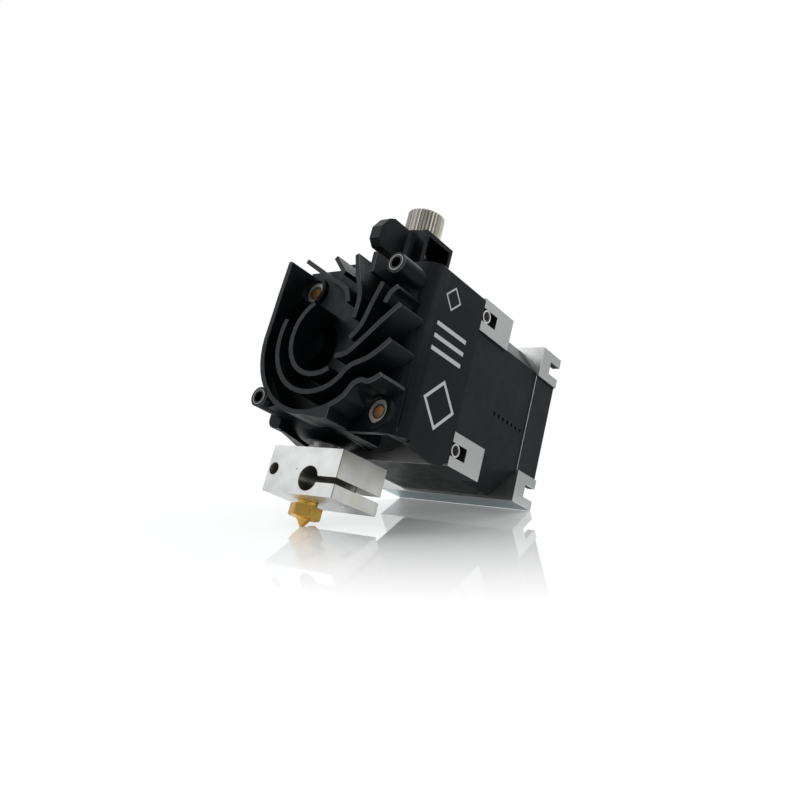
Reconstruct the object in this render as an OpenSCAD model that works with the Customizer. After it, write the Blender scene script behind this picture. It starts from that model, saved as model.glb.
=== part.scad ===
// Direct-drive hotend assembly: a geared filament feeder on a stepper motor,
// with a vaned heatsink in front and a heater block and nozzle below.
// +Z is up, the nozzle points down and the motor is behind, towards +Y.
// The origin is the nozzle's tip. Most modules are written about the motor axis,
// with Y = 0 on the motor's front face, and at_motor() moves them into place.

/* [Layout] */
// Distance of the motor axis to the right of the nozzle
motor_x = 10; // [9.9:0.05:10.1]
// Distance of the motor's front face behind the nozzle
face_y = 8.5; // [8.4:0.05:8.6]
// Height of the motor axis above the nozzle's tip
motor_z = 41; // [40.9:0.05:41.2]

/* [Motor] */
// Width across the machined corner pads of both end plates
plate_w = 44; // [43.8:0.1:44.4]
// Height of both end plates
plate_h = 42.2; // [42:0.1:42.4]
// Thickness of the front plate
front_t = 12.8; // [12.6:0.1:13.2]
// Length of the lamination stack
stack_t = 16.2; // [15.8:0.1:16.8]
// Thickness of the rear cap
rear_t = 9.2; // [9:0.1:9.6]
// Distance between neighbouring motor screws
screw_square = 31; // [31:31]
// Height between the slot centres on each side
slot_pitch = 34; // [34:34]
// Height of each side slot
slot_h = 3.3; // [3.2:0.1:3.4]
// Diameter of the motor shaft
shaft_d = 5; // [5:5]

/* [Heatsink] */
// Depth of the heatsink body in front of the motor
body_t = 20; // [20:0.1:20.3]
// Height of the vanes above the front wall
vane_h = 8; // [6:0.1:8.4]
// Thickness of one vane
vane_t = 1.1; // [1:0.1:1.3]
// Distance between the fan screw posts, across and up
fan_pitch = 32; // [32:32]

/* [Gears] */
// Gear module
gear_m = 0.4; // [0.4:0.4]
// Teeth on the motor pinion
pinion_n = 14; // [14:14]
// Teeth on the drive gear
drive_n = 42; // [42:42]

/* [Hot end] */
// Length of the heater block
block_l = 23; // [23:23]
// Depth of the heater block
block_d = 16; // [16:16]
// Height of the heater block
block_h = 11.5; // [11.5:11.5]
// Gap between the nozzle's hexagon and the block
nozzle_gap = 1; // [0.8:0.1:1.2]

/* [Hidden] */

$fn = 64;
half_w = plate_w / 2;
half_h = plate_h / 2;
screw_r = screw_square / 2;
stack_y = front_t;
rear_y = front_t + stack_t;
back_y = rear_y + rear_t;
tap_r = 1.25;           // thread core of an M3 hole
m3_r = 1.5;             // M3 shank
clear_r = 1.6;          // M3 clearance hole
head_r = 2.75;          // M3 socket head
head_h = 3;
run_gap = 0.05;         // radial clearance of a running fit

// The filament runs straight down through the nozzle's axis
fil_x = -motor_x;
fil_y = -face_y;
hob_r = 4;              // outer radius of the hobbed wheel
hob_groove_r = 3.475;   // its radius at the bottom of the groove
idler_r = 4;
fil_r = 0.875;
guide_r = 1.8;
drive_x = fil_x + fil_r + hob_groove_r;
centre_d = gear_m * (pinion_n + drive_n) / 2;
drive_z = sqrt(centre_d * centre_d - drive_x * drive_x);
idler_x = fil_x - fil_r - idler_r;
mesh_angle = atan2(drive_z, drive_x);

// The lever swings on the upper left mounting screw. Its box holds the tension spring.
pivot_x = -screw_r;
pivot_z = screw_r;
tension_x = 4;
box_x0 = -2;
box_x1 = 10.5;
box_y0 = fil_y - 5.5;
box_y1 = fil_y + 5.5;
box_z0 = 24.4;
box_z1 = 33.5;
box_wall = 1.2;
wheel_r = 4.7;
wheel_z0 = 34.6;
wheel_z1 = 40.7;
lever_y0 = -12;
lever_y1 = -5.3;

// Hot end heights, measured from the motor axis
tip_z = -motor_z;
hex_h = 3;
cone_h = 2;
block_z0 = tip_z + cone_h + hex_h + nozzle_gap;
block_z1 = block_z0 + block_h;
block_x0 = fil_x - 8;
block_y0 = fil_y - 8;
cart_x = block_x0 + 14.1;
cart_z = block_z0 + 4;
sensor_x = block_x0 + 1.95;
sensor_z = block_z0 + 5.6;
clamp_x = block_x0 + block_l - 2.6;
thread_r = 2.8;         // M6 threads of the nozzle and the heatbreak

module at_motor() { translate([motor_x, face_y, motor_z]) children(); }
// A cylinder along +Y that starts at height y
module rod(x, z, y, len, r, facets = 64) {
    translate([x, y, z]) rotate([-90, 0, 0]) cylinder(h = len, r = r, $fn = facets);
}
// A cylinder along +Z that starts at height z
module rod_z(x, y, z, len, r) { translate([x, y, z]) cylinder(h = len, r = r); }
// A box given by its lowest and highest corners
module span(lo, hi) { translate(lo) cube(hi - lo); }
// Extrudes an XZ outline from y0 towards +Y
module slab(y0, len) { translate([0, y0 + len, 0]) rotate([90, 0, 0]) linear_extrude(height = len) children(); }
// Extrudes an XY outline upwards from z0
module slab_z(z0, len) { translate([0, 0, z0]) linear_extrude(height = len) children(); }
// Extrudes a YZ outline from x0 towards +X
module slab_x(x0, len) { translate([x0, 0, 0]) rotate([90, 0, 90]) linear_extrude(height = len) children(); }
module corners(d) { for (sx = [-1, 1], sz = [-1, 1]) translate([sx * d, 0, sz * d]) children(); }

// Points on a smooth curve through the control points p
function bend(a, b, c, d, t) = 0.5 * ((2 * b) + (c - a) * t + (2 * a - 5 * b + 4 * c - d) * t * t
    + (3 * b - a - 3 * c + d) * t * t * t);
function curve(p, n = 4) = let (last = len(p) - 1) concat([for (i = [0:last - 1], k = [0:n - 1])
    bend(p[max(i - 1, 0)], p[i], p[i + 1], p[min(i + 2, last)], k / n)], [p[last]]);
function arc(r, a0, a1, n) = [for (i = [0:n]) r * [cos(a0 + (a1 - a0) * i / n), sin(a0 + (a1 - a0) * i / n)]];
function unit(v) = v / norm(v);
function side(p, i) = let (d = unit(p[min(i + 1, len(p) - 1)] - p[max(i - 1, 0)])) [-d[1], d[0]];
// The outline of a strip of width w along the points p
function strip(p, w) = concat([for (i = [0:len(p) - 1]) p[i] + side(p, i) * w / 2],
    [for (i = [len(p) - 1:-1:0]) p[i] - side(p, i) * w / 2]);

// ---------------------------------------------------------------- heatsink
outer_arc = arc(19, 174, 308, 20);
middle_arc = arc(14.1, 162, 300, 16);
inner_arc = arc(9.8, 124, 300, 16);
vane_outer = concat([[-18.3, 20.2], [-18.7, 11]], outer_arc,
    curve([[13.6, -12.1], [15.6, -11.3], [18, -11.6], [21, -10.1]]));
vane_middle = concat(middle_arc,
    curve([[8.9, -10.6], [11.4, -7.9], [15.4, -6.4], [18.2, -4.6], [21.1, -2.1]]));
vane_curves = [
    vane_outer,
    vane_middle,
    inner_arc,
    curve([[5.9, -5.5], [9.2, -4.8], [13, -1.5], [17.2, 2.7], [21.2, 6.2]]),
    curve([[8.9, -1.3], [11.2, 1.6], [12.8, 7], [14.4, 12]]),
    curve([[16.6, 6.9], [17.6, 9.3], [19.2, 10.6]]),
    curve([[4.1, 19.9], [6, 14.7], [8.4, 9], [8.4, 3.7]]),
    curve([[9.7, 20], [9.9, 15]]),
    curve([[-2.6, 19.8], [1.5, 15.5]]),
    curve([[-12.3, 19.8], [-3.7, 15], [3.1, 11.4], [5.2, 7.9]])
];

body_top = 21;
module body_outline() {
    polygon(concat(
        [[-18.6, body_top]],
        arc(19, 172, 270, 16),
        [[3, -19.6], [8, -20.4], [21.6, -20.4], [half_w, -20], [half_w, 20.4], [21.3, body_top]]));
}

// Rounded outline of the lug below the lower left post
lug_corner = [for (a = [180:15:270]) [-16.5, -18.3] + 2.1 * [cos(a), sin(a)]];
module lower_left() {
    slab(-body_t, 3.2) polygon(concat([[-18.6, -13]], lug_corner, [[-14.6, -20.4], [-14.6, -13]]));
    // flared wall that runs back to the motor
    slab_z(-20.6, 6.6) polygon([[-15.6, -18.4], [-17.8, -13.8], [-21.4, -7], [-half_w + 0.3, -4],
        [-half_w + 0.3, 0], [-14, 0], [-18.2, -7], [-16, -13.4], [-14.6, -18.4]]);
}
// The foot that carries the heatbreak
module foot() {
    intersection() {
        translate([fil_x, fil_y, 0]) rotate_extrude() polygon([[0, -14], [10.3, -14], [10.5, -17],
            [9.7, -18], [8.4, -19], [6.4, -20], [4.9, -20.6], [0, -20.6]]);
        span([-30, -30, -30], [30, 0, 0]);
    }
}
module heatsink_shell() {
    corner_r = 5;
    intersection() {
        slab(-body_t, body_t) body_outline();
        union() {
            span([-30, -body_t - 1, -30], [half_w - corner_r, 1, 30]);
            span([0, -body_t + corner_r, -30], [half_w + 1, 1, 30]);
            translate([half_w - corner_r, -body_t + corner_r, -30]) cylinder(h = 60, r = corner_r);
        }
    }
    for (p = vane_curves) slab(-body_t - vane_h, vane_h + 0.5) polygon(strip(p, vane_t));
    // bottom lip under the outer vane
    slab(-body_t - vane_h, vane_h + 0.5)
        polygon([[-6, -18.6], [6.5, -20.2], [8.5, -20.2], [8.5, -17.6], [2, -18.9], [-3, -18.9]]);
    // fan screw posts
    rod(fan_pitch / 2 + 1, fan_pitch / 2 + 0.5, -body_t - 8.2, 9, 2.4);
    rod(1 - fan_pitch / 2, 0.5 - fan_pitch / 2, -body_t - 8.2, 16, 2.4);
    slab(-body_t - 6, 12) polygon([[-17.2, -14.6], [-16, -9], [-9, -16.5], [-13.4, -17.4]]);
    lower_left();
    // collars round the two mounting screws
    rod(-screw_r, screw_r, -body_t - 0.8, 2, 4);
    rod(screw_r, -screw_r, -body_t - 0.8, 2, 4.2);
    // peg that locates the tension spring
    rod_z(tension_x, fil_y, 20, body_top - 20 + 1.5, 1.5);
}
// Corner pocket under the body, open below, with the screw's boss, a rib and the gear case left standing
module underside_pocket() {
    difference() {
        span([-2, -body_t + 1.6, -21], [half_w - 1.2, 1, -9.5]);
        rod(1, -10.6, -body_t, body_t + 2, 8.4);
        rod(screw_r, -screw_r, -body_t, body_t + 2, 3.6);
        span([6.6, -body_t, -22], [7.8, fil_y, -9]);
        rod_z(fil_x, fil_y, -22, 20, 9.5);
    }
}
module heatsink_body() color("#26282b") at_motor() {
    difference() {
        union() {
            difference() {
                heatsink_shell();
                underside_pocket();
                // crescent pocket inside the inner vane
                intersection() {
                    rod(0, 0, -body_t - 1, 3.1, 9.2);
                    rod(fil_x, 0, -body_t - 1, 3.1, 7.2);
                }
            }
            // step inside the crescent
            intersection() {
                rod(0, 0, -body_t - 2, 5, 9.5);
                rod(fil_x, 0.3, -body_t - 2, 5, 4.4);
            }
            foot();
            // low edge of the side wall, hanging over the motor plate's corner
            slab_x(half_w - 1.2, 1.2) polygon([[-14.9, -19], [-14.9, -20.6], [-11, -21.6], [-5.3, -22.4],
                [-2.8, -22.2], [-0.6, -20.6], [0, -20.6], [0, -19]]);
        }
        // mounting screws
        for (s = [-1, 1]) {
            rod(s * screw_r, -s * screw_r, -body_t - 2, body_t + 3, clear_r);
            rod(s * screw_r, -s * screw_r, -body_t - 2, 2 + head_h + 0.2, head_r + 0.25);
        }
        // holes for the inserts in the fan posts
        rod(fan_pitch / 2 + 1, fan_pitch / 2 + 0.5, -body_t - 9, 9.8, 1.9);
        rod(1 - fan_pitch / 2, 0.5 - fan_pitch / 2, -body_t - 9, 9.8, 1.9);
        // gear chamber, open to the motor
        rod(drive_x, drive_z, -5.1, 6, gear_m * (drive_n + 2) / 2 + 0.5);
        rod(0, 0, -6.6, 8, gear_m * (pinion_n + 2) / 2 + 0.8);
        // hobbed wheel chamber and front bearing seat
        rod(drive_x, drive_z, -12.3, 8, hob_r + 0.6);
        rod(drive_x, drive_z, -17.6, 8, 3);
        rod(drive_x, drive_z, -17.6, 2.5, 4);
        // lever channel, open on the left and at the top
        span([-20, -12.3, drive_z - idler_r - 1.2], [-12, -5, 22]);
        span([-20, -12.3, drive_z - idler_r - 1.2], [drive_x, -5, drive_z + idler_r + 0.3]);
        // filament path from the inlet to the heatbreak
        rod_z(fil_x, fil_y, 14, 8, guide_r);
        rod_z(fil_x, fil_y, 0, 22, 1.3);
        rod_z(fil_x, fil_y, -16, 20, 1.5);
        rod_z(fil_x, fil_y, -23, 8.2, 3.5);
    }
}

// A socket head screw along +Y, with the underside of its head at y
module socket_screw(x, z, y, len, r = m3_r, hr = head_r, hh = head_h, hex = 2.5) {
    difference() {
        union() {
            rod(x, z, y - hh, hh, hr);
            rod(x, z, y, len, r);
        }
        translate([x, y - hh - 1, z]) rotate([-90, 30, 0]) cylinder(h = 2.3, r = hex / sqrt(3), $fn = 6);
    }
}
module heatsink_screws() color("#c9c6bf") at_motor() {
    for (s = [-1, 1]) socket_screw(s * screw_r, -s * screw_r, -body_t + head_h + 0.2, body_t - head_h + 3);
}
module post_inserts() color("#b9b4a6") at_motor() {
    for (s = [-1, 1]) difference() {
        rod(1 + s * fan_pitch / 2, 0.5 + s * fan_pitch / 2, -body_t - 8.2, 8, 1.9);
        rod(1 + s * fan_pitch / 2, 0.5 + s * fan_pitch / 2, -body_t - 9, 9.8, tap_r);
    }
}

// ---------------------------------------------------------------- motor
// Outline of an end plate: a body with four proud corner pads
module plate_outline() {
    pad = 8.2;
    square([2 * half_w - 1.2, plate_h - 0.8], center = true);
    for (sz = [-1, 1]) translate([0, sz * (half_h - pad / 2)]) square([plate_w, pad], center = true);
}
// Nut channel and its side slot, open towards -Y at y = 0
module nut_channel(len) {
    for (sx = [-1, 1], sz = [-1, 1]) {
        translate([sx * (half_w - 1), len / 2 - 1, sz * slot_pitch / 2]) cube([6, len + 2, slot_h], center = true);
        translate([sx * (half_w - 3.45), len / 2 - 0.5, sz * slot_pitch / 2])
            cube([2.5, len + 3, 5.8], center = true);
    }
}
module motor_front_plate() color("#2a2b2d") at_motor() {
    difference() {
        slab(0, front_t) plate_outline();
        nut_channel(6);
        corners(screw_r) rod(0, 0, -1, front_t + 2, tap_r);
        rod(0, 0, -1, 12, shaft_d / 2 + 0.6);
        rod(0, 0, 3.5, 5, 8);
        rod(0, 0, 8.4, 6, 17);
        rod(drive_x, drive_z, -1, 3.5, 4);
    }
}
module slot_nuts() color("#d0d0cc") at_motor() {
    for (sx = [-1, 1], sz = [-1, 1]) translate([0, 1.75, sz * slot_pitch / 2]) difference() {
        union() {
            translate([sx * (half_w - 3.45), 1.1, 0]) cube([1.8, 5.5, 5.5], center = true);
            translate([sx * (half_w - 3.45), 0, 0]) rotate([0, sx * 90, 0]) cylinder(h = 3.4, r = slot_h / 2 - 0.05);
        }
        translate([sx * (half_w - 5), 0, 0]) rotate([0, sx * 90, 0]) cylinder(h = 6, r = tap_r);
    }
}
stack_w = 42.1;
stack_h = 40.5;
stack_cut = 6.6;
bore_r = 13;
slot_r = 17;
module stack_outline() {
    a = stack_w / 2;
    b = stack_h / 2;
    c = stack_cut;
    polygon([[a, b - c], [a - c, b], [c - a, b], [-a, b - c], [-a, c - b], [c - a, -b], [a - c, -b], [a, c - b]]);
}
module poles(w, r0, r1) {
    for (k = [0:7]) rotate(22.5 + 45 * k) translate([(r0 + r1) / 2, 0]) square([r1 - r0, w], center = true);
}
module stator_stack() color("#1d1e20") at_motor() {
    difference() {
        slab(stack_y, stack_t) difference() {
            stack_outline();
            circle(r = bore_r);
            difference() {
                circle(r = slot_r);
                poles(4.4, bore_r - 1, slot_r + 1);
            }
        }
        corners(screw_r) rod(0, 0, stack_y - 1, stack_t + 2, clear_r);
        // row of shallow weld slots on the right side
        for (k = [0:6]) translate([stack_w / 2, stack_y + 1.9 + 2.05 * k, -3.1]) cube([0.8, 0.8, 0.9], center = true);
    }
}
module stator_windings() color("#a85b24") at_motor() {
    slab(stack_y - 1.6, stack_t + 3.2) difference() {
        poles(8.2, bore_r + 1.2, slot_r - 0.9);
        poles(4.6, bore_r - 1, slot_r + 1);
    }
}
module rear_cap() color("#2a2b2d") at_motor() {
    difference() {
        slab(rear_y, rear_t) plate_outline();
        translate([0, back_y, 0]) mirror([0, 1, 0]) nut_channel(4.7);
        corners(screw_r) rod(0, 0, rear_y - 1, rear_t + 2, clear_r);
        corners(screw_r) rod(0, 0, back_y - head_h - 0.2, 4, head_r + 0.1);
        rod(0, 0, rear_y - 1, 3, 17);
        rod(0, 0, rear_y, 7.2, 8);
        // seat of the cable connector on the left side
        span([-half_w - 1, rear_y + 1.6, -7.6], [-17.5, rear_y + 6.6, 7.6]);
    }
}
module tie_screws() color("#8f8f8c") at_motor() {
    corners(screw_r) translate([0, back_y - head_h, 0]) mirror([0, 1, 0])
        socket_screw(0, 0, 0, stack_t + 9);
}
module motor_connector() color("#e6e2d4") at_motor() {
    difference() {
        span([-half_w - 1.5, rear_y + 1.6, -7.6], [-17.5, rear_y + 6.6, 7.6]);
        span([-half_w - 2, rear_y + 2.4, -6.8], [-18.7, rear_y + 5.8, 6.8]);
        for (k = [0:5]) translate([-18, rear_y + 4.1, 2 * k - 5]) cube([3, 0.5, 0.5], center = true);
    }
}
module connector_pins() color("#c8b25a") at_motor() {
    for (k = [0:5]) translate([-19.6, rear_y + 4.1, 2 * k - 5]) cube([4.2, 0.5, 0.5], center = true);
}
// A shielded ball bearing along Y, with shallow grooves in both faces
module bearing(x, z, y, len, ro, ri) {
    difference() {
        rod(x, z, y, len, ro);
        rod(x, z, y - 1, len + 2, ri);
        for (side_y = [y - 1, y + len - 0.25]) difference() {
            rod(x, z, side_y, 1.25, ri + (ro - ri) * 0.72);
            rod(x, z, side_y - 1, 4, ri + (ro - ri) * 0.3);
        }
    }
}
module front_bearing() color("#c4c4c4") at_motor() bearing(0, 0, 3.5, 5, 8, shaft_d / 2 + run_gap);
module rear_bearing() color("#c4c4c4") at_motor() bearing(0, 0, rear_y + 1.4, 5, 8, shaft_d / 2 + run_gap);
module wave_washer() color("#9b9b98") at_motor() difference() {
    rod(0, 0, rear_y + 6.45, 0.4, 7.6);
    rod(0, 0, rear_y + 5, 4, 5.4);
}
rotor_n = 50;
module rotor_outline() {
    difference() {
        circle(r = bore_r - 0.1);
        for (k = [0:rotor_n - 1]) rotate(k * 360 / rotor_n) translate([bore_r, 0]) square([1.8, 0.8], center = true);
    }
}
module rotor() color("#7f7f7d") at_motor() {
    difference() {
        union() {
            slab(stack_y + 0.6, 6.6) rotor_outline();
            rod(0, 0, stack_y + 7.1, 2, 10.5);
            slab(stack_y + 9, 6.6) rotate(180 / rotor_n) rotor_outline();
        }
        rod(0, 0, stack_y - 1, stack_t + 3, shaft_d / 2);
    }
}
module motor_shaft() color("#d6d6d2") at_motor() {
    rod(0, 0, -2, rear_y + 6.4 + 2, shaft_d / 2);
    rod(0, 0, -6, 5, 1.5);
}

// ---------------------------------------------------------------- gears
// Involute flank point at radius r of a gear with base radius rb
function inv(r, rb) = let (a = acos(min(1, rb / r))) tan(a) - a * PI / 180;
// One tooth: its half angle at radius r, thinned by the backlash bl
function half_tooth(r, rp, rb, n, bl) = 90 / n - bl / rp * 90 / PI
    + (inv(rp, rb) - inv(max(r, rb), rb)) * 180 / PI;
module gear_outline(n, m, bl) {
    rp = n * m / 2;
    rb = rp * cos(20);
    ra = rp + m;
    rf = rp - 1.25 * m;
    radii = [rf, max(rb, rf + 0.05), (rb + ra) / 2, ra];
    polygon([for (k = [0:n - 1], i = [0:7])
        let (s = i < 4 ? -1 : 1, r = radii[i < 4 ? i : 7 - i], a = 360 / n * k + s * half_tooth(r, rp, rb, n, bl))
        [r * cos(a), r * sin(a)]]);
}
backlash = 0.1;
module pinion() color("#d8c070") at_motor() {
    difference() {
        slab(-5, 2.9) rotate(mesh_angle) gear_outline(pinion_n, gear_m, backlash);
        rod(0, 0, -6, 5, 1.5);
    }
}
// The drive gear's tooth gap faces the pinion's tooth
module drive_gear() color("#17181a") at_motor() translate([drive_x, 0, drive_z]) {
    difference() {
        union() {
            slab(-4.8, 2.6) rotate(mesh_angle + 180 + 180 / drive_n) gear_outline(drive_n, gear_m, backlash);
            rod(0, 0, -2.3, 1.9, 3.4);
        }
        rod(0, 0, -6, 7, 2.5);
        for (k = [0:5]) rotate([0, 60 * k, 0]) translate([5.3, -6, 0]) rotate([-90, 0, 0]) cylinder(h = 5, r = 1.3);
    }
}
hob_n = 22;
module hobbed_shaft() color("#c9c9c6") at_motor() translate([drive_x, 0, drive_z]) {
    rod(0, 0, -17.5, 19.9, 2.5);
    difference() {
        slab(-11, 5) difference() {
            circle(r = hob_r);
            for (k = [0:hob_n - 1]) rotate(k * 360 / hob_n) translate([hob_r, 0]) circle(r = 0.3, $fn = 4);
        }
        translate([0, fil_y, 0]) rotate([90, 0, 0]) rotate_extrude()
            translate([hob_groove_r + fil_r, 0]) circle(r = fil_r, $fn = 24);
    }
}
module drive_front_bearing() color("#c4c4c4") at_motor() bearing(drive_x, drive_z, -17.6, 2.5, 4, 2.5 + run_gap);
module drive_rear_bearing() color("#c4c4c4") at_motor() bearing(drive_x, drive_z, 0, 2.5, 4, 2.5 + run_gap);

// ---------------------------------------------------------------- idler and tensioner
module idler_lever() color("#1c1d1f") at_motor() {
    tab_t = 3;
    tab_x0 = 3;
    tab_z1 = box_z1 - 0.5;
    lever_t = lever_y1 - lever_y0;
    difference() {
        union() {
            // barrel round the screw, the fork below it and the arm above it
            rod(pivot_x, pivot_z, lever_y0, lever_t, 2.9);
            span([-17.6, lever_y0, drive_z - 2.4], [-13.2, lever_y1, 27.4]);
            span([-17.6, lever_y0, 24.6], [box_x0 + 1, lever_y1, 27.4]);
            // spring box
            span([box_x0, box_y0, box_z0], [box_x1, box_y1, box_z1]);
            // finger tab
            slab_x(tab_x0, tab_t) polygon([[box_y0 + 1, box_z0], [-23.2, box_z0], [-24.7, 26], [-24.7, 29.1],
                [-22.7, 32.1], [-21, tab_z1], [box_y0 + 1, tab_z1]]);
            // web that blends the tab into the box
            slab_z(box_z0, tab_z1 - box_z0) polygon(concat([[tab_x0 + 1, box_y0 + 1], [tab_x0 + 1, -16.5]],
                [for (a = [0:15:90]) [tab_x0 + tab_t + 1.6 - 1.6 * cos(a), box_y0 - 2.2 + 2.2 * sin(a)]],
                [[tab_x0 + tab_t + 1.6, box_y0 + 1]]));
        }
        // spring chamber, open below, with its window on the right
        span([box_x0 + box_wall, box_y0 + 1.1, box_z0 - 1], [box_x1 - 1, box_y1 - 1.1, box_z1 - box_wall]);
        span([box_x1 - 2, box_y0 + 1.3, box_z0 + 1.2], [box_x1 + 1, box_y1 - 1.1, box_z1 - box_wall]);
        rod_z(tension_x, fil_y, box_z1 - 3, 4, m3_r + run_gap);
        // window for the filament
        span([-13, fil_y - 2.3, 24], [-8.2, fil_y + 2.3, 28]);
        // fork round the idler wheel
        rod(idler_x, drive_z, -10.2, 3.4, idler_r + 0.4);
        rod(idler_x, drive_z, lever_y0 - 1, lever_t + 2, 1.5);
        rod(pivot_x, pivot_z, lever_y0 - 1, lever_t + 2, m3_r + run_gap);
    }
}
module idler_wheel() color("#cfcfcc") at_motor() difference() {
    rod(idler_x, drive_z, -10, 3, idler_r);
    rod(idler_x, drive_z, -11, 5, 1.5 + run_gap);
    translate([idler_x, fil_y, drive_z]) rotate([90, 0, 0]) rotate_extrude()
        translate([idler_r + 0.6, 0]) circle(r = fil_r, $fn = 24);
}
module idler_axle() color("#a9a9a6") at_motor() rod(idler_x, drive_z, lever_y0, lever_y1 - lever_y0, 1.5);

spring_r = 2.2;
wire_r = 0.35;
spring_z0 = body_top;
spring_z1 = 29;
nose_r = 1.1;
// Threaded stem of the thumb wheel, with a nose inside the spring
module tension_screw() color("#a9a9a6") at_motor() {
    rod_z(tension_x, fil_y, spring_z1 + 1, wheel_z1 - 0.8 - spring_z1 - 1, m3_r);
    rod_z(tension_x, fil_y, spring_z1 - 3, 4.5, nose_r);
}
spring_turns = 5;
spring_steps = 80;
wire_sides = 8;
function coil(i) = let (t = i / spring_steps, a = 360 * spring_turns * t)
    [spring_r * cos(a), spring_r * sin(a),
        spring_z0 + wire_r + 0.02 + (spring_z1 - spring_z0 - 2 * wire_r - 0.04) * t];
function ring(i) = let (a = 360 * spring_turns * i / spring_steps) [for (j = [0:wire_sides - 1])
    let (b = 360 * j / wire_sides) coil(i) + wire_r * (cos(b) * [cos(a), sin(a), 0] + sin(b) * [0, 0, 1])];
module tension_spring() color("#b5b5b0") at_motor() translate([tension_x, fil_y, 0]) {
    polyhedron(points = [for (i = [0:spring_steps]) each ring(i)],
        faces = concat([[for (j = [0:wire_sides - 1]) j]],
            [for (i = [0:spring_steps - 1], j = [0:wire_sides - 1]) let (k = (j + 1) % wire_sides)
                [i * wire_sides + j, (i + 1) * wire_sides + j, (i + 1) * wire_sides + k, i * wire_sides + k]],
            [[for (j = [wire_sides - 1:-1:0]) spring_steps * wire_sides + j]]));
}
module spring_seat() color("#c0c0bb") at_motor() difference() {
    rod_z(tension_x, fil_y, spring_z1, 1, 2.6);
    rod_z(tension_x, fil_y, spring_z1 - 1, 3, nose_r + run_gap);
}
knurl_n = 32;
module thumb_wheel() color("#c9c3b4") at_motor() translate([tension_x, fil_y, 0]) difference() {
    slab_z(wheel_z0, wheel_z1 - wheel_z0) difference() {
        circle(r = wheel_r);
        for (k = [0:knurl_n - 1]) rotate(k * 360 / knurl_n) translate([wheel_r, 0]) circle(r = 0.3, $fn = 4);
    }
    translate([0, 0, wheel_z0 - 1]) cylinder(h = 12, r = m3_r);
}

// ---------------------------------------------------------------- filament path and hot end
module filament_guide() color("#1f2022") at_motor() difference() {
    rod_z(fil_x, fil_y, 14, 8.5, guide_r);
    rod_z(fil_x, fil_y, 13, 12, 1);
    translate([fil_x, fil_y, 21.6]) cylinder(h = 1, r1 = 1, r2 = 1.6);
}
module ptfe_liner() color("#eeeeea") at_motor() difference() {
    rod_z(fil_x, fil_y, -14.5, 18.4, 1.5);
    rod_z(fil_x, fil_y, -15, 20, 1);
}
module heatbreak() color("#cfd0d1") at_motor() difference() {
    union() {
        rod_z(fil_x, fil_y, -22, 7.2, 3.5);
        rod_z(fil_x, fil_y, block_z1 - 1, 3.4, 1.6);
        rod_z(fil_x, fil_y, block_z1 - 4.6, 4.6, thread_r);
    }
    rod_z(fil_x, fil_y, -32, 20, 1);
}
module heater_block() color("#c9cac8") at_motor() {
    x1 = block_x0 + block_l;
    difference() {
        span([block_x0, block_y0, block_z0], [x1, block_y0 + block_d, block_z1]);
        rod_z(fil_x, fil_y, block_z0 - 1, block_h + 2, thread_r);
        rod(cart_x, cart_z, block_y0 - 1, block_d + 2, 3);
        rod(sensor_x, sensor_z, block_y0 - 1, block_d + 2, 1.5);
        span([cart_x, block_y0 - 1, cart_z - 0.75], [x1 + 1, block_y0 + block_d + 1, cart_z + 0.75]);
        // clamp screw near the free end, seated from below
        rod_z(clamp_x, fil_y, block_z0 - 1, block_h, m3_r);
        // sensor retaining screw from above
        rod_z(sensor_x, fil_y, sensor_z, block_h, 1);
        // punch mark
        rod(fil_x + 1.7, block_z0 + 6, block_y0 - 1, 1.2, 0.25);
    }
}
module nozzle() color("#c9a24a") at_motor() difference() {
    union() {
        rod_z(fil_x, fil_y, block_z0, block_h - 4.7, thread_r);
        rod_z(fil_x, fil_y, block_z0 - nozzle_gap, nozzle_gap, 2.5);
        // hexagon with its lower corners turned off
        translate([fil_x, fil_y, tip_z + cone_h]) intersection() {
            rotate(34) cylinder(h = hex_h, r = 7 / sqrt(3), $fn = 6);
            cylinder(h = hex_h, r1 = 3.55, r2 = 3.55 + 1.8 * hex_h);
        }
        translate([fil_x, fil_y, tip_z]) cylinder(h = cone_h, r1 = 0.5, r2 = 1.9);
    }
    rod_z(fil_x, fil_y, tip_z + 1.2, 12, 1);
    rod_z(fil_x, fil_y, tip_z - 1, 4, 0.2);
}
module clamp_screw() color("#b9b9b6") at_motor() translate([clamp_x, fil_y, block_z0 + 0.3]) difference() {
    cylinder(h = block_h - 2, r = m3_r);
    translate([0, 0, -1]) cylinder(h = 2.4, r = 1.5 / sqrt(3), $fn = 6);
}
module sensor_screw() color("#8f8f8c") at_motor() translate([sensor_x, fil_y, sensor_z + 1.55]) difference() {
    cylinder(h = block_z1 - sensor_z - 1.85, r = 1);
    translate([0, 0, block_z1 - sensor_z - 2.75]) cylinder(h = 2, r = 0.5, $fn = 6);
}

heatsink_body();
heatsink_screws();
post_inserts();
motor_front_plate();
slot_nuts();
stator_stack();
stator_windings();
rear_cap();
tie_screws();
motor_connector();
connector_pins();
front_bearing();
rear_bearing();
wave_washer();
rotor();
motor_shaft();
pinion();
drive_gear();
hobbed_shaft();
drive_front_bearing();
drive_rear_bearing();
idler_lever();
idler_wheel();
idler_axle();
tension_screw();
tension_spring();
spring_seat();
thumb_wheel();
filament_guide();
ptfe_liner();
heatbreak();
heater_block();
nozzle();
clamp_screw();
sensor_screw();
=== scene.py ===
"""Looks for the direct-drive hotend assembly: materials, edge bevels, a floor, lights and the camera.

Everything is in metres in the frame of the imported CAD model: the origin is the nozzle's tip, +Z runs up the
filament path and the motor lies behind it, towards +Y. In the picture the assembly leans back, resting on
its nozzle and on the lower rear edge of the motor, so the floor is a plane tilted about the X axis.
"""

import math

import bpy
from mathutils import Euler, Matrix, Vector


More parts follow.
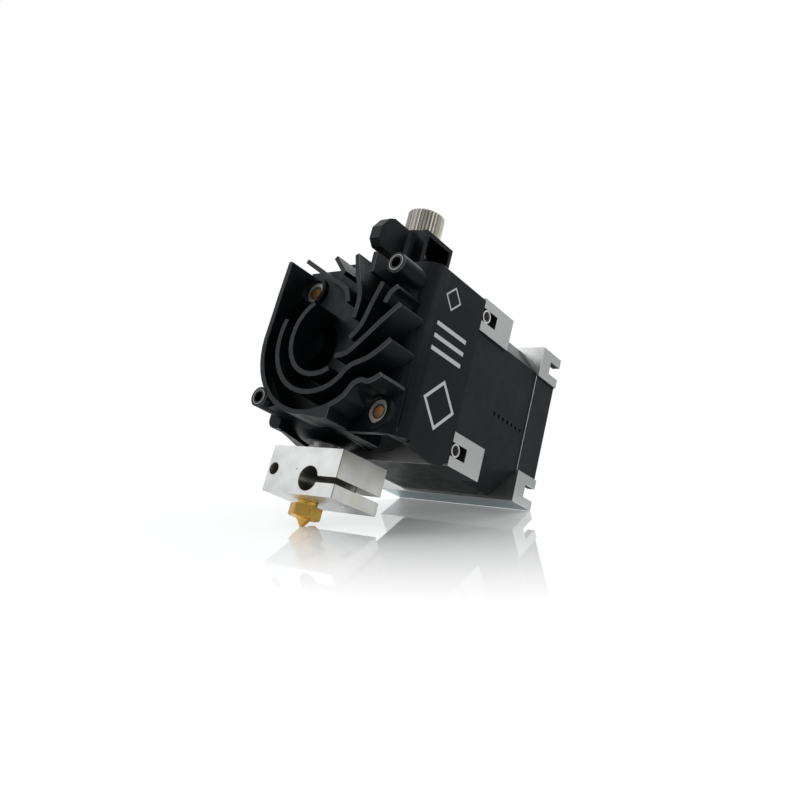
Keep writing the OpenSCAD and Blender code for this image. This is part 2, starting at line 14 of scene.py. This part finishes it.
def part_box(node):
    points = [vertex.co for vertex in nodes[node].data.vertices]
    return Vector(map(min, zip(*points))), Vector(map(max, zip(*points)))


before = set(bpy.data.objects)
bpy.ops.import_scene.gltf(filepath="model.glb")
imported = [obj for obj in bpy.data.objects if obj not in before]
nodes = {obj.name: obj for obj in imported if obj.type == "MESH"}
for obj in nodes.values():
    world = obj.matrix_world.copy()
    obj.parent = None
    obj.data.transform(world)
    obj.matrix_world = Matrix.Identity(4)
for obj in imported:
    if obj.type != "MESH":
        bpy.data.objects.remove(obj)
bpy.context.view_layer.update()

MM = 0.001

# Places on the assembly, in millimetres.
MOTOR_X, MOTOR_Z = 10, 41                   # the motor's axis
FACE_Y = 8.5                                # the front face of the motor's front plate
REAR_Y = FACE_Y + 29                        # the front face of the rear cap
VANE_Y = FACE_Y - 28                        # the front faces of the vanes
SCREW_Y = FACE_Y - 19.8                     # the front faces of the mounting screws
SIDE_X = MOTOR_X + 21.9                     # just inside the right side of the heatsink
PAD_X = 21.75                               # both end plates are bare further than this from the motor's axis
PAD_Z = 20.9                                # the rear cap is bare above and below this distance too
BLOCK_X = 15                                # the heater block's right side
BLOCK_Y = -8                                # the heater block's front
CARTRIDGE_X, CARTRIDGE_Z = 6.1, 10.0        # the heater block's two bores
SENSOR_X, SENSOR_Z = -6.05, 11.6
# x and z of the mounting screws and of the fan posts
SCREWS = ((MOTOR_X + 15.5, MOTOR_Z - 15.5), (MOTOR_X - 15.5, MOTOR_Z + 15.5))
POSTS = ((MOTOR_X + 17, MOTOR_Z + 16.5), (MOTOR_X - 15, MOTOR_Z - 15.5))

SILVER = (0.54, 0.55, 0.54)


# ---------------------------------------------------------------- material helpers
class Material:
    """A node material that is built up from a few helpers. Lengths are in millimetres."""

    def __init__(self, name, colour=(1, 1, 1), roughness=0.5, metallic=0.0, specular=0.5):
        self.data = bpy.data.materials.new(name)
        self.data.use_nodes = True
        self.tree = self.data.node_tree
        self.shader = self.tree.nodes["Principled BSDF"]
        self.shader.inputs["Metallic"].default_value = metallic
        self.shader.inputs["Specular IOR Level"].default_value = specular
        if metallic == 0:
            self.shader.inputs["Specular Tint"].default_value = (0.84, 0.96, 1.0, 1)
        self.colour = (*colour, 1)
        self.roughness = roughness
        self.height = None
        scale = self.node("ShaderNodeVectorMath", operation="SCALE")
        scale.inputs["Scale"].default_value = 1 / MM
        self.feed(scale.inputs[0], self.node("ShaderNodeTexCoord").outputs["Object"])
        self.place = scale.outputs[0]

    def node(self, kind, **settings):
        made = self.tree.nodes.new(kind)
        for key, value in settings.items():
            setattr(made, key, value)
        return made

    def feed(self, socket, value):
        """Links an output to a socket, or sets the socket to a plain number or colour."""
        if isinstance(value, bpy.types.NodeSocket):
            self.tree.links.new(value, socket)
        else:
            socket.default_value = value

    def math(self, operation, a, b=0.0, c=0.0):
        made = self.node("ShaderNodeMath", operation=operation)
        for socket, value in zip(made.inputs, (a, b, c)):
            self.feed(socket, value)
        return made.outputs[0]

    def axis(self, index):
        """One coordinate of the position."""
        made = self.node("ShaderNodeSeparateXYZ")
        self.feed(made.inputs[0], self.place)
        return made.outputs[index]

    def noise(self, scale, detail=3.0, stretch=(1, 1, 1), low=0.3, high=0.7):
        """Smooth noise from 0 to 1 with that many cells in a millimetre, drawn out where stretch is small."""
        place = self.node("ShaderNodeVectorMath", operation="MULTIPLY")
        self.feed(place.inputs[0], self.place)
        place.inputs[1].default_value = stretch
        made = self.node("ShaderNodeTexNoise")
        made.inputs["Scale"].default_value = scale
        made.inputs["Detail"].default_value = detail
        self.feed(made.inputs["Vector"], place.outputs[0])
        return self.span(made.outputs["Fac"], low, high, 0, 1)

    def span(self, value, a, b, to_a, to_b):
        """Maps value from the range a..b to the range to_a..to_b, and holds it there."""
        made = self.node("ShaderNodeMapRange", clamp=True)
        for socket, number in zip(made.inputs, (value, a, b, to_a, to_b)):
            self.feed(socket, number)
        return made.outputs[0]

    def away(self, index, centre):
        """Distance from a plane across one axis."""
        return self.math("ABSOLUTE", self.math("SUBTRACT", self.axis(index), centre))

    def distance(self, a, b):
        """The length of a vector from its two parts."""
        squares = self.math("ADD", self.math("POWER", a, 2), self.math("POWER", b, 2))
        return self.math("SQRT", squares)

    def below(self, value, limit):
        return self.math("LESS_THAN", value, limit)

    def above(self, value, limit):
        return self.math("GREATER_THAN", value, limit)

    def bore(self, x, z, radius):
        """A mask for what lies within a radius of a line along Y."""
        return self.below(self.distance(self.away(0, x), self.away(2, z)), radius)

    def both(self, *masks):
        """A mask that is 1 where all of them are."""
        made = masks[0]
        for mask in masks[1:]:
            made = self.math("MULTIPLY", made, mask)
        return made

    def either(self, *masks):
        """A mask that is 1 where any of them is."""
        made = masks[0]
        for mask in masks[1:]:
            made = self.math("MAXIMUM", made, mask)
        return made

    def tint(self, amount, colour):
        """Moves the colour towards another one by amount."""
        made = self.node("ShaderNodeMix", data_type="RGBA")
        first, second = made.inputs[6:8]    # the node's two colour sockets
        self.feed(made.inputs["Factor"], amount)
        self.feed(first, self.colour)
        self.feed(second, (*colour, 1))
        self.colour = made.outputs[2]

    def rough(self, amount, change):
        self.roughness = self.math("MULTIPLY_ADD", amount, change, self.roughness)

    def bare(self, mask, colour, roughness):
        """Machined metal without its coating, where mask is 1."""
        self.tint(mask, colour)
        self.feed(self.shader.inputs["Metallic"], mask)
        lines = self.noise(9.0, 3, (1, 0.05, 1))
        metal_rough = self.math("MULTIPLY_ADD", lines, 0.12, roughness)
        self.rough(mask, self.math("SUBTRACT", metal_rough, self.roughness))
        self.bump(self.math("MULTIPLY", lines, mask), 0.003)

    def bump(self, amount, depth):
        """Adds amount times depth, in millimetres, to the surface height."""
        step = self.math("MULTIPLY", amount, depth * MM)
        self.height = step if self.height is None else self.math("ADD", self.height, step)

    def paint(self, *parts):
        """Finishes the shader and gives the material to the parts."""
        self.feed(self.shader.inputs["Base Color"], self.colour)
        self.feed(self.shader.inputs["Roughness"], self.roughness)
        if self.height is not None:
            bump = self.node("ShaderNodeBump")
            bump.inputs["Distance"].default_value = 1.0
            self.feed(bump.inputs["Height"], self.height)
            self.feed(self.shader.inputs["Normal"], bump.outputs[0])
        for part in parts:
            slots = nodes[part].data.materials
            slots.clear()
            slots.append(self.data)


def satin_black(name, colour, roughness, grain, depth, specular=0.17):
    """Black coating with a fine grain, faint smears and dust."""
    made = Material(name, colour, roughness, specular=specular)
    made.tint(made.noise(0.12, 4), tuple(1.8 * c for c in colour))
    made.rough(made.noise(0.35, 5), 0.12)
    made.bump(made.noise(grain, 2), depth)
    made.bump(made.noise(0.5, 3), depth * 1.5)
    return made


def metal(name, colour, roughness, grain=(1, 1, 1), scale=6.0, depth=0.004):
    """Bare metal with tool marks drawn out along the directions where grain is small."""
    made = Material(name, colour, roughness, metallic=1.0)
    lines = made.noise(scale, 4, grain)
    made.tint(made.noise(0.25, 4), tuple(0.82 * c for c in colour))
    made.rough(lines, 0.12)
    made.rough(made.noise(0.3, 3), 0.08)
    made.bump(lines, depth)
    return made


def moulded(name, colour, roughness):
    """Pale moulded plastic."""
    made = Material(name, colour, roughness)
    made.tint(made.noise(0.3, 3), tuple(0.93 * c for c in colour))
    made.rough(made.noise(1.5, 3), 0.1)
    made.bump(made.noise(6.0, 2), 0.003)
    return made


# ---------------------------------------------------------------- materials with details of their own
def printed_marks(made):
    """A mask for plain shapes printed on the right side: two diamond outlines and three bars."""
    shapes = []
    for y, z, size, line in ((-3.4, 56, 3.0, 0.55), (0.4, 31.5, 6.0, 1.1)):
        reach = made.math("ADD", made.away(1, y), made.away(2, z))
        shapes.append(made.both(made.below(reach, size), made.above(reach, size - line)))
    for z in (48.6, 45.6, 42.6):
        shapes.append(made.both(made.below(made.away(1, -1.2), 5.8), made.below(made.away(2, z), 0.5)))
    return made.both(made.either(*shapes), made.above(made.axis(0), SIDE_X))


def heatsink_black():
    """Black anodising with pale prints on its right side, a painted sheen on the vanes' front faces and
    painted highlight lines along their front edges.
    """
    made = satin_black("black_anodised", (0.0020, 0.0026, 0.0032), 0.33, 5.0, 0.005, 0.14)
    made.tint(printed_marks(made), (0.42, 0.43, 0.43))
    # painted sheen: the vanes' front faces are coloured lighter grey, as if catching light
    painted_vane_sheen = made.below(made.axis(1), VANE_Y + 0.22)
    made.tint(painted_vane_sheen, (0.012, 0.013, 0.014))
    # painted highlight: lighter lines on the bevels along the vanes' front edges
    edges = made.both(painted_vane_sheen, made.above(made.axis(1), VANE_Y + 0.03))
    made.tint(edges, (0.10, 0.105, 0.11))
    made.paint("heatsink_body")


def front_plate_black():
    """Black with a machined front face and side pads."""
    made = satin_black("front_plate_black", (0.0045, 0.0052, 0.0060), 0.4, 6.0, 0.005)
    pads = made.above(made.away(0, MOTOR_X), PAD_X)
    face = made.below(made.axis(1), FACE_Y + 0.1)
    made.bare(made.either(pads, face), SILVER, 0.3)
    made.paint("motor_front_plate")


def rear_cap_black():
    """Black with machined pads on all four sides and a machined front face."""
    made = satin_black("rear_cap_black", (0.0070, 0.0076, 0.0084), 0.42, 6.0, 0.005)
    pads = made.above(made.away(0, MOTOR_X), PAD_X)
    ends = made.above(made.away(2, MOTOR_Z), PAD_Z)
    face = made.below(made.axis(1), REAR_Y + 0.1)
    made.bare(made.either(pads, ends, face), SILVER, 0.26)
    made.paint("rear_cap")


def stack_paint():
    """Black paint over the edges of the motor's steel sheets, which lie 0.5 mm apart."""
    made = satin_black("stack_paint", (0.0045, 0.0052, 0.0060), 0.42, 6.0, 0.004)
    sheets = made.math("SINE", made.math("MULTIPLY", made.axis(1), math.tau / 0.5))
    made.bump(made.math("MAXIMUM", sheets, 0.0), 0.008)
    made.paint("stator_stack")


def bright_screws():
    """Bright screw faces with painted shade in the sockets, and brown behind their front."""
    made = metal("bright_screw", (0.97, 0.95, 0.90), 0.36, depth=0.002)
    for x, z in SCREWS:
        # painted shade in the hex sockets: dark brown within 1.8 mm of each screw's axis
        made.tint(made.bore(x, z, 1.8), (0.24, 0.19, 0.13))
    made.tint(made.above(made.axis(1), SCREW_Y + 0.2), (0.60, 0.44, 0.27))
    made.paint("heatsink_screws")


def post_insert_steel():
    """Steel rings round threaded bores whose insides carry painted shade."""
    made = metal("insert_steel", (0.30, 0.30, 0.29), 0.35)
    for x, z in POSTS:
        # painted shade: the insides of the threaded bores are coloured nearly black
        made.tint(made.bore(x, z, 1.72), (0.035, 0.036, 0.036))
    made.paint("post_inserts")


def block_aluminium():
    """Milled aluminium, stained on its right side, with painted shade in the bores and slit and along the
    front right corner's edge.
    """
    made = metal("aluminium", (0.80, 0.815, 0.81), 0.26, (0.06, 1, 1), 9.0, 0.003)
    stain = made.both(made.noise(0.22, 4), made.above(made.axis(0), BLOCK_X - 0.5))
    made.tint(made.math("MULTIPLY", stain, 0.35), (0.66, 0.60, 0.42))
    cartridge = made.bore(CARTRIDGE_X, CARTRIDGE_Z, 3.05)
    sensor = made.bore(SENSOR_X, SENSOR_Z, 1.55)
    slit = made.both(made.below(made.away(2, CARTRIDGE_Z), 0.78), made.above(made.axis(0), CARTRIDGE_X))
    # painted shade: the insides of the bores and the slit are coloured darker grey
    made.tint(made.either(cartridge, sensor, slit), (0.34, 0.335, 0.31))
    right = made.above(made.axis(0), BLOCK_X - 0.13)
    front = made.below(made.axis(1), BLOCK_Y + 0.13)
    # painted shade: a dark line along the bevel of the front right corner
    made.tint(made.both(right, front), (0.14, 0.14, 0.14))
    made.paint("heater_block")


heatsink_black()
front_plate_black()
rear_cap_black()
stack_paint()
bright_screws()
post_insert_steel()
block_aluminium()

# ---------------------------------------------------------------- plain materials
satin_black("black_nylon", (0.0016, 0.0020, 0.0024), 0.3, 7.0, 0.004, 0.13).paint(
    "idler_lever", "filament_guide", "drive_gear")
metal("screw_steel", (0.55, 0.54, 0.52), 0.3).paint("tie_screws", "sensor_screw")
metal("steel", (0.62, 0.62, 0.62), 0.24).paint(
    "front_bearing", "rear_bearing", "wave_washer", "rotor", "motor_shaft", "hobbed_shaft",
    "drive_front_bearing", "drive_rear_bearing", "idler_wheel", "idler_axle", "tension_screw", "spring_seat",
    "heatbreak")
metal("dark_steel", (0.28, 0.27, 0.26), 0.35).paint("clamp_screw")
metal("nut_steel", (0.9, 0.9, 0.88), 0.2).paint("slot_nuts")
metal("spring_steel", (0.5, 0.5, 0.49), 0.25).paint("tension_spring")
metal("brass", (0.80, 0.50, 0.11), 0.22, (1, 1, 0.1), 5.0, 0.003).paint("nozzle", "pinion")
metal("knurled_nickel", (0.36, 0.345, 0.31), 0.24).paint("thumb_wheel")
metal("copper", (0.72, 0.33, 0.14), 0.3, (1, 0.1, 1), 8.0).paint("stator_windings")
metal("gold_pins", (0.85, 0.66, 0.3), 0.25).paint("connector_pins")
moulded("connector_nylon", (0.78, 0.75, 0.66), 0.45).paint("motor_connector")
moulded("ptfe", (0.82, 0.82, 0.80), 0.4).paint("ptfe_liner")


# ---------------------------------------------------------------- edges
def soften(part, width):
    """Rounds the sharp edges of a CAD node, so that they catch the light."""
    piece = nodes[part]
    weld = piece.modifiers.new("weld", "WELD")
    weld.merge_threshold = 0.002 * MM
    flat = piece.modifiers.new("flat", "DECIMATE")
    flat.decimate_type = "DISSOLVE"
    flat.angle_limit = math.radians(0.5)
    edge = piece.modifiers.new("edge", "BEVEL")
    edge.width = width * MM
    edge.segments = 2
    edge.limit_method = "ANGLE"
    edge.angle_limit = math.radians(35)
    edge.harden_normals = True
    edge.miter_outer = "MITER_ARC"


EDGE_WIDTHS = {
    "heatsink_body": 0.22, "idler_lever": 0.25, "motor_front_plate": 0.15, "rear_cap": 0.15,
    "stator_stack": 0.2, "heater_block": 0.15, "nozzle": 0.1,
}
for part, width in EDGE_WIDTHS.items():
    soften(part, width)


# ---------------------------------------------------------------- floor
rear_edge = Vector((0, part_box("rear_cap")[1].y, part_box("rear_cap")[0].z))
tilt = math.atan2(rear_edge.z, rear_edge.y)
floor_turn = Matrix.Rotation(tilt, 4, "X")


def floor_point(x, y, height=0.0):
    """A point over the tilted floor: x and y in its plane, in millimetres."""
    return floor_turn @ (Vector((x, y, height)) * MM)


def floor_sheet(half_width, back):
    """A sheet that reaches as far forward as it does to each side, and ends at back behind the nozzle."""
    corners = ((-half_width, -half_width), (half_width, -half_width), (half_width, back), (-half_width, back))
    mesh = bpy.data.meshes.new("floor")
    mesh.from_pydata([floor_point(x, y) for x, y in corners], [], [(0, 1, 2, 3)])
    made = bpy.data.objects.new("floor", mesh)
    bpy.context.collection.objects.link(made)
    return made


def floor_material():
    """Glossy white sheet whose reflections fade into the white background."""
    made = Material("floor_white")
    glow = made.node("ShaderNodeEmission")
    matt = made.node("ShaderNodeBsdfDiffuse")
    matt.inputs["Color"].default_value = (0.93, 0.95, 0.95, 1)
    mirror = made.node("ShaderNodeBsdfGlossy")
    mirror.inputs["Color"].default_value = (0.97, 0.99, 0.99, 1)
    mirror.inputs["Roughness"].default_value = 0.035
    sheet = made.node("ShaderNodeMixShader")
    sheet.inputs["Fac"].default_value = 0.62
    made.feed(sheet.inputs[1], matt.outputs[0])
    made.feed(sheet.inputs[2], mirror.outputs[0])
    distance = made.distance(made.math("MULTIPLY", made.away(0, 8), 0.75), made.away(1, 25))
    blend = made.node("ShaderNodeMixShader")
    made.feed(blend.inputs["Fac"], made.span(distance, 22, 72, 0.12, 1.0))
    made.feed(blend.inputs[1], sheet.outputs[0])
    made.feed(blend.inputs[2], glow.outputs[0])
    made.feed(made.tree.nodes["Material Output"].inputs["Surface"], blend.outputs[0])
    return made.data


floor = floor_sheet(320, rear_edge.length / MM + 14)
floor.data.materials.append(floor_material())


# ---------------------------------------------------------------- light
def lamp(name, place, target, size, power):
    """A soft square light at a point over the floor, aimed at another one."""
    data = bpy.data.lights.new(name, "AREA")
    data.shape = "SQUARE"
    data.size = size * MM
    data.energy = power
    made = bpy.data.objects.new(name, data)
    bpy.context.collection.objects.link(made)
    start, end = floor_point(*place), floor_point(*target)
    made.location = start
    made.rotation_mode = "QUATERNION"
    made.rotation_quaternion = (end - start).to_track_quat("-Z", "Y")


centre = (10, 10, 40)
lamp("key", (-175, -150, 230), centre, 130, 0.1)
lamp("side", (280, 60, 180), centre, 160, 0.16)
lamp("back", (60, 300, 240), centre, 220, 0.4)


def studio_world():
    """The camera sees white, and grey surroundings light the object, brighter towards five directions."""
    world = bpy.data.worlds.new("studio")
    world.use_nodes = True
    tree = world.node_tree
    walls = tree.nodes["Background"]
    place = tree.nodes.new("ShaderNodeTexCoord")

    def wall(direction, low, high, strength):
        """Light that grows as the view turns towards a direction."""
        dot = tree.nodes.new("ShaderNodeVectorMath")
        dot.operation = "DOT_PRODUCT"
        dot.inputs[1].default_value = Vector(direction).normalized()
        tree.links.new(place.outputs["Generated"], dot.inputs[0])
        span = tree.nodes.new("ShaderNodeMapRange")
        span.interpolation_type = "SMOOTHSTEP"
        for key, number in (("From Min", low), ("From Max", high), ("To Max", strength)):
            span.inputs[key].default_value = number
        tree.links.new(dot.outputs["Value"], span.inputs["Value"])
        return span.outputs[0]

    def add(a, b):
        made = tree.nodes.new("ShaderNodeMath")
        tree.links.new(a, made.inputs[0])
        tree.links.new(b, made.inputs[1])
        return made.outputs[0]

    light = wall((-0.65, -0.71, 0.29), 0.3, 0.98, 0.5)                      # front left
    light = add(light, wall((0.65, 0.71, 0.35), 0.1, 0.95, 0.32))           # back right
    light = add(light, wall((-0.65, 0.71, 0.29), 0.7, 0.95, 0.8))           # back left
    light = add(light, wall((0.68, -0.62, 0.35), 0.9, 0.99, 0.7))           # front right
    light = add(light, wall((0, 0, 1), 0.1, 1.0, 0.5))                      # above
    everywhere = tree.nodes.new("ShaderNodeMath")
    everywhere.inputs[1].default_value = 0.2
    tree.links.new(light, everywhere.inputs[0])
    tree.links.new(everywhere.outputs[0], walls.inputs["Strength"])
    white = tree.nodes.new("ShaderNodeBackground")
    ray = tree.nodes.new("ShaderNodeLightPath")
    choose = tree.nodes.new("ShaderNodeMixShader")
    tree.links.new(ray.outputs["Is Camera Ray"], choose.inputs["Fac"])
    tree.links.new(walls.outputs[0], choose.inputs[1])
    tree.links.new(white.outputs[0], choose.inputs[2])
    tree.links.new(choose.outputs[0], tree.nodes["World Output"].inputs["Surface"])
    for shade in (walls, white):
        shade.inputs["Color"].default_value = (1, 1, 1, 1)
    return world


bpy.context.scene.world = studio_world()
bpy.context.scene.view_settings.view_transform = "Standard"

# ---------------------------------------------------------------- camera
camera_place = (153.49, -147.84, -23.35)    # millimetres
camera_turn = (106.167, -13.820, 37.996)    # degrees about X, then Y, then Z

camera = bpy.data.objects.new("camera", bpy.data.cameras.new("camera"))
bpy.context.collection.objects.link(camera)
camera.data.sensor_width = 36
camera.data.lens = 39.912
camera.data.clip_start = 0.01
camera.location = Vector(camera_place) * MM
camera.rotation_euler = Euler([math.radians(angle) for angle in camera_turn])
bpy.context.scene.camera = camera
